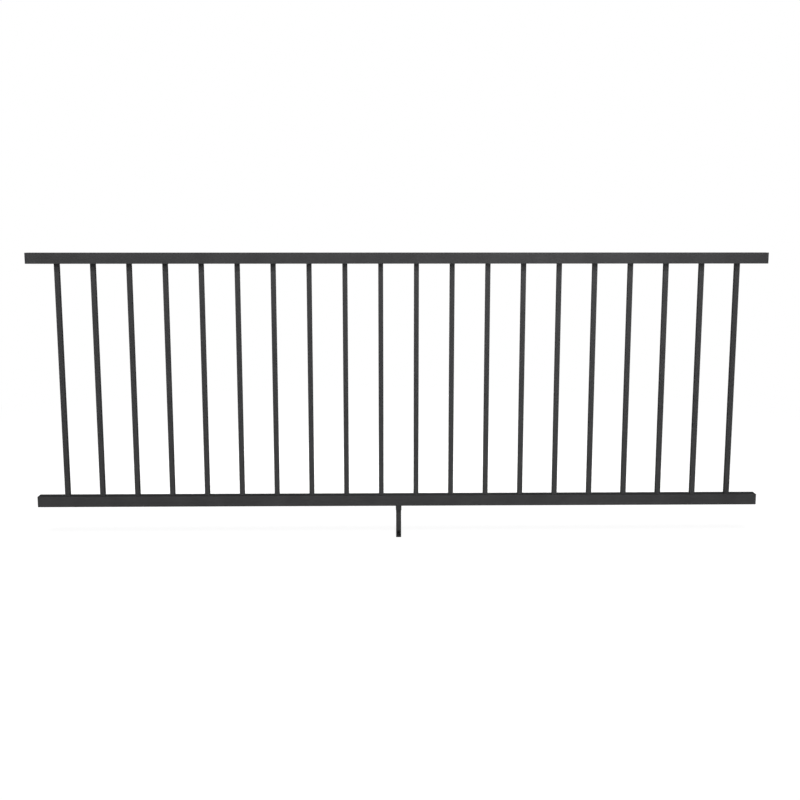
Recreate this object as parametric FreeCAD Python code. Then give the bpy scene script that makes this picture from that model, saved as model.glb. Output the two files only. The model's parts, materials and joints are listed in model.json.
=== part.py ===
import FreeCAD, Part
import math
import os

# Deck railing section: two square tube rails, a row of square tube balusters that pass through
# punched holes into both rails, and a support leg that carries the bottom rail at mid-span.
# Millimetres. X runs along the rails, Y from front to back, and Z up from the deck.

# Overall sizes
RAIL_LENGTH = 2362.2
OPEN_HEIGHT = 755.65  # from the bottom rail up to the top rail
LEG_HEIGHT = 109.0  # from the deck up to the bottom rail

# Rail tube
RAIL_HEIGHT = 34.925
RAIL_DEPTH = 34.925
RAIL_WALL = 2.0
RAIL_CORNER = 0.8

# Baluster tube, and its place along the rails
BALUSTER_SIDE = 15.875
BALUSTER_WALL = 1.3
BALUSTER_CORNER = 1.5
BALUSTER_PITCH = 114.3
BALUSTER_ENTRY = 20.0  # reach into the top rail
PUNCH_CLEARANCE = 0.2  # round a baluster in its punched hole
END_MARGIN = 60.0  # least distance from a baluster's axis to a rail's end

# Support leg: a square tube post with a moulded head and foot plugged into its ends
POST_SIDE = 16.7
POST_WALL = 2.0
POST_CORNER = 1.5
PLUG_CLEARANCE = 0.2  # round a plug in the post
HEAD_HEIGHT = 16.3
HEAD_SIDE_LIP = 0.95  # past the post, along the rail
HEAD_FRONT_LIP = 6.6  # past the post, to the front and the back
HEAD_CORNER = 1.5
HEAD_RIM = 0.8  # rounding of the head's lower rim
SPIGOT_LENGTH = 14.0
LEAD_IN = 1.0  # chamfer at the tips of the spigot and the tongue
TONGUE_WIDTH = 14.6
TONGUE_DEPTH = 10.0
TONGUE_HEIGHT = 6.0
TONGUE_INSET = 0.5  # from the head's left flank
SLOT_CLEARANCE = 0.3  # round the tongue in the rail
NOTCH_WIDTH = 10.0
NOTCH_HEIGHT = 23.5
NOTCH_CORNER = 3.0
FOOT_THICKNESS = 4.0
SCREW_HOLE_RADIUS = 2.5

# Heights and inner sizes that follow
BOTTOM_RAIL_TOP = LEG_HEIGHT + RAIL_HEIGHT
TOP_RAIL_BASE = BOTTOM_RAIL_TOP + OPEN_HEIGHT
POST_TOP = LEG_HEIGHT - HEAD_HEIGHT
POST_BORE = POST_SIDE - 2 * POST_WALL
PLUG_SIDE = POST_BORE - 2 * PLUG_CLEARANCE

X_AXIS = FreeCAD.Vector(1, 0, 0)
Y_AXIS = FreeCAD.Vector(0, 1, 0)
Z_AXIS = FreeCAD.Vector(0, 0, 1)
CLOSE = 1e-6


def block(width, depth, base, top, x=0.0):
    """Return an upright block on the railing's mid-plane."""
    corner = FreeCAD.Vector(x - width / 2, -depth / 2, base)
    return Part.makeBox(width, depth, top - base, corner)


def rounded(shape, axis, radius):
    """Return a shape with its edges along an axis rounded."""
    edges = []
    for edge in shape.Edges:
        direction = edge.tangentAt(edge.FirstParameter)
        if direction.cross(axis).Length < CLOSE:
            edges.append(edge)
    return shape.makeFillet(radius, edges)


def level_edges(shape, height):
    """Return a shape's edges that lie level at a height."""
    edges = []
    for edge in shape.Edges:
        if all(abs(vertex.Z - height) < CLOSE for vertex in edge.Vertexes):
            edges.append(edge)
    return edges


def baluster_places():
    """Return the balusters' places along the rails, in pairs about the mid-span gap."""
    reach = RAIL_LENGTH / 2 - END_MARGIN
    pairs = math.floor(reach / BALUSTER_PITCH + 1 / 2)
    return [(index + 1 / 2) * BALUSTER_PITCH for index in range(-pairs, pairs)]


def rail_tube(base):
    """Return a rail as a plain tube with open ends."""
    top = base + RAIL_HEIGHT
    tube = rounded(block(RAIL_LENGTH, RAIL_DEPTH, base, top), X_AXIS, RAIL_CORNER)
    bore_depth = RAIL_DEPTH - 2 * RAIL_WALL
    return tube.cut(block(RAIL_LENGTH, bore_depth, base + RAIL_WALL, top - RAIL_WALL))


def punched_holes(base):
    """Return the baluster holes through the rail wall that starts at a height."""
    side = BALUSTER_SIDE + 2 * PUNCH_CLEARANCE
    radius = BALUSTER_CORNER + PUNCH_CLEARANCE
    holes = []
    for x in baluster_places():
        holes.append(rounded(block(side, side, base, base + RAIL_WALL, x), Z_AXIS, radius))
    return holes


def tongue(clearance):
    """Return the leg's tongue, or with a clearance round it the slot that takes it."""
    left = -POST_SIDE / 2 - HEAD_SIDE_LIP + TONGUE_INSET
    width = TONGUE_WIDTH + 2 * clearance
    depth = TONGUE_DEPTH + 2 * clearance
    return block(width, depth, LEG_HEIGHT, LEG_HEIGHT + TONGUE_HEIGHT, left + TONGUE_WIDTH / 2)


def top_rail():
    """Return the top rail, punched from below."""
    return rail_tube(TOP_RAIL_BASE).cut(punched_holes(TOP_RAIL_BASE))


def bottom_rail():
    """Return the bottom rail, punched from above, with the leg's slot in its underside."""
    rail = rail_tube(LEG_HEIGHT).cut(punched_holes(BOTTOM_RAIL_TOP - RAIL_WALL))
    return rail.cut(tongue(SLOT_CLEARANCE))


def baluster(x):
    """Return a baluster that stands inside the bottom rail and reaches into the top rail."""
    base = LEG_HEIGHT + RAIL_WALL
    top = TOP_RAIL_BASE + BALUSTER_ENTRY
    bore = BALUSTER_SIDE - 2 * BALUSTER_WALL
    tube = rounded(block(BALUSTER_SIDE, BALUSTER_SIDE, base, top, x), Z_AXIS, BALUSTER_CORNER)
    return tube.cut(block(bore, bore, base, top, x))


def leg_post():
    """Return the leg's tube, with a screwdriver notch at the bottom of its front wall."""
    tube = rounded(block(POST_SIDE, POST_SIDE, 0, POST_TOP), Z_AXIS, POST_CORNER)
    tube = tube.cut(block(POST_BORE, POST_BORE, 0, POST_TOP))
    notch = block(NOTCH_WIDTH, POST_WALL, -NOTCH_HEIGHT, NOTCH_HEIGHT)
    notch.translate(Y_AXIS * (POST_WALL - POST_SIDE) * (1 / 2))
    return tube.cut(rounded(notch, Y_AXIS, NOTCH_CORNER))


def leg_head():
    """Return the moulded head: a bearing block, its spigot in the post and its tongue."""
    width = POST_SIDE + 2 * HEAD_SIDE_LIP
    depth = POST_SIDE + 2 * HEAD_FRONT_LIP
    bearing = rounded(block(width, depth, POST_TOP, LEG_HEIGHT), Z_AXIS, HEAD_CORNER)
    bearing = bearing.makeFillet(HEAD_RIM, level_edges(bearing, POST_TOP))
    spigot_tip = POST_TOP - SPIGOT_LENGTH
    spigot = block(PLUG_SIDE, PLUG_SIDE, spigot_tip, POST_TOP)
    spigot = spigot.makeChamfer(LEAD_IN, level_edges(spigot, spigot_tip))
    key = tongue(0)
    key = key.makeChamfer(LEAD_IN, level_edges(key, LEG_HEIGHT + TONGUE_HEIGHT))
    return bearing.fuse([spigot, key]).removeSplitter()


def leg_foot():
    """Return the moulded foot: a drilled plug in the post with a key that fills the notch's end."""
    plug = block(PLUG_SIDE, PLUG_SIDE, 0, FOOT_THICKNESS)
    key_width = NOTCH_WIDTH - 2 * PLUG_CLEARANCE
    key_depth = POST_WALL + PLUG_CLEARANCE
    key = block(key_width, key_depth, 0, FOOT_THICKNESS)
    key.translate(Y_AXIS * (key_depth - POST_SIDE) * (1 / 2))
    screw_hole = Part.makeCylinder(SCREW_HOLE_RADIUS, FOOT_THICKNESS)
    return plug.fuse(key).removeSplitter().cut(screw_hole)


def railing_parts():
    """Return every piece of the railing by name."""
    parts = {
        "top_rail": top_rail(),
        "bottom_rail": bottom_rail(),
        "support_leg_post": leg_post(),
        "support_leg_head": leg_head(),
        "support_leg_foot": leg_foot(),
    }
    for number, x in enumerate(baluster_places(), start=1):
        parts[f"baluster_{number:02d}"] = baluster(x)
    return parts


os.makedirs("parts", exist_ok=True)
for name, shape in railing_parts().items():
    shape.exportStep(f"parts/{name}.step")
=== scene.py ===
import json
import math

import bpy
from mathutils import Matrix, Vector

# Deck railing section in black powder coat, on a white studio floor.
# Metres, in the frame of the solids: X along the rails, Y to the back, Z up from the deck.
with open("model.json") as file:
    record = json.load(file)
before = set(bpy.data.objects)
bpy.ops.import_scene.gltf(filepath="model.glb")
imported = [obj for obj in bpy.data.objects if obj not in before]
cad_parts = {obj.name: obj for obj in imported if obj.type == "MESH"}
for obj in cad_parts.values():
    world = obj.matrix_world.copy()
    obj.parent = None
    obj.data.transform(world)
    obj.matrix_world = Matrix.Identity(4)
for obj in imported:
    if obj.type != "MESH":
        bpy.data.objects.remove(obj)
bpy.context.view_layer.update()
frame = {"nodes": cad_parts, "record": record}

# Camera, fitted to the photograph
IMAGE_SIDE = 800
FOCAL_PIXELS = 1053.0
SENSOR_WIDTH = 36.0
CAMERA_PLACE = (-0.0496, -3.3887, 0.9834)
CAMERA_PITCH = math.radians(-8.798)
CAMERA_YAW = math.radians(-0.916)
LEVEL = math.radians(90.0)  # turn that points a camera at the horizon

# Softboxes: a far high one, a high strip that leaves the balusters in shade under the top rail, a low strip
# for the lower half, a small one that lightens the top rail right of the middle, a low one for the back and
# one for each end. A grid on each strip narrows its light to a spread in degrees.
MIDDLE = (0.0, 0.0, 0.5)
OPEN_FRONT = 180.0  # spread without a grid
SOFTBOXES = {
    "high_far": {
        "place": (0.0, -6.0, 7.0),
        "target": MIDDLE,
        "size": (3.0, 3.0),
        "power": 440.0,
    },
    "high_strip": {
        "place": (-0.05, -0.45, 2.0),
        "target": (-0.05, 0.0, 1.52),
        "size": (2.7, 0.12),
        "power": 21.0,
        "spread": 60.0,
    },
    "low_strip": {
        "place": (0.0, -1.2, 0.15),
        "target": (0.0, 0.0, 0.3),
        "size": (3.6, 0.2),
        "power": 7.5,
        "spread": 120.0,
    },
    "top_accent": {
        "place": (0.56, -0.75, 0.98),
        "target": (0.56, 0.0, 0.95),
        "size": (0.5, 0.2),
        "power": 1.5,
    },
    "back_low": {
        "place": (0.0, 4.6, 0.3),
        "target": (0.0, 0.0, 0.45),
        "size": (1.6, 0.5),
        "power": 130.0,
    },
    "left_end": {
        "place": (-4.0, 0.0, 0.6),
        "target": MIDDLE,
        "size": (0.4, 0.8),
        "power": 45.0,
    },
    "right_end": {
        "place": (4.0, 0.0, 0.6),
        "target": MIDDLE,
        "size": (0.4, 0.8),
        "power": 45.0,
    },
}
WORLD_STRENGTH = (0.03, 1.0)  # as a light and as a background

# Floor: the paint that throws light back, the paint that is seen beside the object and shows its shadow,
# and the white that is seen with that paint and takes its place over a range of distances from the object
FLOOR_SIDE = 60.0
FLOOR_PAINT = (0.4, 0.4, 0.4, 1.0)
FLOOR_SEEN = (0.22, 0.22, 0.22, 1.0)
FLOOR_GLOW = (0.9, 1.0)
FLOOR_FADE = (1.3, 3.5)
WHITE = (1.0, 1.0, 1.0, 1.0)
BLACK = (0.0, 0.0, 0.0, 1.0)

# Finishes: the two tones that a mottle mixes, the gloss, and the grain's size and relief
FINISHES = {
    "powder_coat": {
        "dark": (0.040, 0.040, 0.041, 1.0),
        "light": (0.056, 0.056, 0.057, 1.0),
        "specular": 0.002,
        "roughness": (0.84, 0.98),
        "grain_size": 0.0008,
        "grain_depth": 0.0002,
    },
    "leg_moulding": {
        "dark": (0.037, 0.037, 0.038, 1.0),
        "light": (0.049, 0.049, 0.050, 1.0),
        "specular": 0.02,
        "roughness": (0.78, 0.94),
        "grain_size": 0.0004,
        "grain_depth": 0.00006,
    },
}
CLOUD_SIZE = 0.07
CLOUD_DETAIL = 3.0
GRAIN_DETAIL = 2.0
GRAIN_STRENGTH = 0.5
MOTTLE_SPREAD = (0.6, 1.4)  # range of the cloud and the grain added up
UNIT = (0.0, 1.0)


def new_material(name):
    """Return a new node material with its node tree and Principled shader."""
    material = bpy.data.materials.new(name)
    material.use_nodes = True
    tree = material.node_tree
    return material, tree, tree.nodes["Principled BSDF"]


def math_node(tree, operation, *values):
    """Return the result of a calculation on linked values."""
    node = tree.nodes.new("ShaderNodeMath")
    node.operation = operation
    for socket, value in zip(node.inputs, values):
        tree.links.new(value, socket)
    return node.outputs["Value"]


def noise(tree, coordinates, size, detail):
    """Return a noise with features of a given size."""
    node = tree.nodes.new("ShaderNodeTexNoise")
    node.inputs["Scale"].default_value = 1 / size
    node.inputs["Detail"].default_value = detail
    tree.links.new(coordinates, node.inputs["Vector"])
    return node.outputs["Fac"]


def span(tree, value, source, result):
    """Return a value moved from one range to another and kept within it."""
    node = tree.nodes.new("ShaderNodeMapRange")
    node.inputs["From Min"].default_value, node.inputs["From Max"].default_value = source
    node.inputs["To Min"].default_value, node.inputs["To Max"].default_value = result
    tree.links.new(value, node.inputs["Value"])
    return node.outputs["Result"]


def ramp(tree, factor, low, high):
    """Return a mix node that runs from a low to a high colour with a factor."""
    node = tree.nodes.new("ShaderNodeMix")
    node.data_type = "RGBA"
    node.inputs["A"].default_value = low
    node.inputs["B"].default_value = high
    tree.links.new(factor, node.inputs["Factor"])
    return node


def textured_finish(name, dark, light, specular, roughness, grain_size, grain_depth):
    """Return a dark sprayed or moulded finish: mottled tone, uneven gloss and fine grain."""
    material, tree, shader = new_material(name)
    place = tree.nodes.new("ShaderNodeTexCoord").outputs["Object"]
    cloud = noise(tree, place, CLOUD_SIZE, CLOUD_DETAIL)
    grain = noise(tree, place, grain_size, GRAIN_DETAIL)
    mottle = span(tree, math_node(tree, "ADD", cloud, grain), MOTTLE_SPREAD, UNIT)
    tree.links.new(ramp(tree, mottle, dark, light).outputs["Result"], shader.inputs["Base Color"])
    tree.links.new(span(tree, grain, UNIT, roughness), shader.inputs["Roughness"])
    shader.inputs["Specular IOR Level"].default_value = specular
    bump = tree.nodes.new("ShaderNodeBump")
    bump.inputs["Strength"].default_value = GRAIN_STRENGTH
    bump.inputs["Distance"].default_value = grain_depth
    tree.links.new(grain, bump.inputs["Height"])
    tree.links.new(bump.outputs["Normal"], shader.inputs["Normal"])
    return material


def seen_directly(tree):
    """Return a factor of one for the rays that show a background: camera, mirror and glass rays."""
    path = tree.nodes.new("ShaderNodeLightPath")
    first = math_node(tree, "MAXIMUM", path.outputs["Is Camera Ray"], path.outputs["Is Glossy Ray"])
    return math_node(tree, "MAXIMUM", first, path.outputs["Is Transmission Ray"])


def floor_material():
    """Return a material that looks white and keeps the object's shadow."""
    material, tree, shader = new_material("floor")
    tree.nodes.remove(shader)
    distance = tree.nodes.new("ShaderNodeVectorMath")
    distance.operation = "LENGTH"
    tree.links.new(tree.nodes.new("ShaderNodeTexCoord").outputs["Object"], distance.inputs["Vector"])
    fade = span(tree, distance.outputs["Value"], FLOOR_FADE, UNIT)
    seen = seen_directly(tree)
    paint = tree.nodes.new("ShaderNodeBsdfDiffuse")
    tone = ramp(tree, seen, FLOOR_PAINT, BLACK)
    tree.links.new(ramp(tree, fade, FLOOR_SEEN, BLACK).outputs["Result"], tone.inputs["B"])
    tree.links.new(tone.outputs["Result"], paint.inputs["Color"])
    glow = tree.nodes.new("ShaderNodeEmission")
    glow.inputs["Color"].default_value = WHITE
    strength = math_node(tree, "MULTIPLY", seen, span(tree, fade, UNIT, FLOOR_GLOW))
    tree.links.new(strength, glow.inputs["Strength"])
    both = tree.nodes.new("ShaderNodeAddShader")
    for socket, part in zip(both.inputs, (paint.outputs["BSDF"], glow.outputs["Emission"])):
        tree.links.new(part, socket)
    tree.links.new(both.outputs["Shader"], tree.nodes["Material Output"].inputs["Surface"])
    return material


def add_floor():
    """Lay the floor at deck height."""
    half = FLOOR_SIDE / 2
    mesh = bpy.data.meshes.new("floor")
    corners = [(-half, -half, 0), (half, -half, 0), (half, half, 0), (-half, half, 0)]
    mesh.from_pydata(corners, [], [range(len(corners))])
    mesh.materials.append(floor_material())
    floor = bpy.data.objects.new("floor", mesh)
    bpy.context.scene.collection.objects.link(floor)


def add_world():
    """Set a weak ambient light whose background reads as white."""
    world = bpy.data.worlds.new("studio")
    world.use_nodes = True
    tree = world.node_tree
    background = tree.nodes["Background"]
    background.inputs["Color"].default_value = WHITE
    tree.links.new(span(tree, seen_directly(tree), UNIT, WORLD_STRENGTH), background.inputs["Strength"])
    bpy.context.scene.world = world


def add_softbox(name, place, target, size, power, spread=OPEN_FRONT):
    """Hang a rectangular softbox that faces a target and doesn't show itself."""
    light = bpy.data.lights.new(name, "AREA")
    light.shape = "RECTANGLE"
    light.size, light.size_y = size
    light.energy = power
    light.spread = math.radians(spread)
    softbox = bpy.data.objects.new(name, light)
    softbox.location = place
    aim = Vector(target) - Vector(place)
    softbox.rotation_euler = aim.to_track_quat("-Z", "Y").to_euler()
    softbox.visible_camera = False
    bpy.context.scene.collection.objects.link(softbox)


def add_camera():
    """Place the photograph's camera."""
    lens = bpy.data.cameras.new("camera")
    lens.sensor_width = SENSOR_WIDTH
    lens.lens = SENSOR_WIDTH * FOCAL_PIXELS / IMAGE_SIDE
    camera = bpy.data.objects.new("camera", lens)
    camera.location = CAMERA_PLACE
    camera.rotation_euler = (LEVEL + CAMERA_PITCH, 0, CAMERA_YAW)
    bpy.context.scene.collection.objects.link(camera)
    bpy.context.scene.camera = camera


def dress_solids():
    """Give every solid the finish of its material slot."""
    finishes = {name: textured_finish(name, **look) for name, look in FINISHES.items()}
    for part in frame["record"]["subparts"]:
        solid = frame["nodes"][part["node"]]
        for slot in solid.material_slots:
            slot.material = finishes[part["material_slot"]]


dress_solids()
add_floor()
add_world()
for name, settings in SOFTBOXES.items():
    add_softbox(name, **settings)
add_camera()
bpy.context.scene.view_settings.view_transform = "Standard"
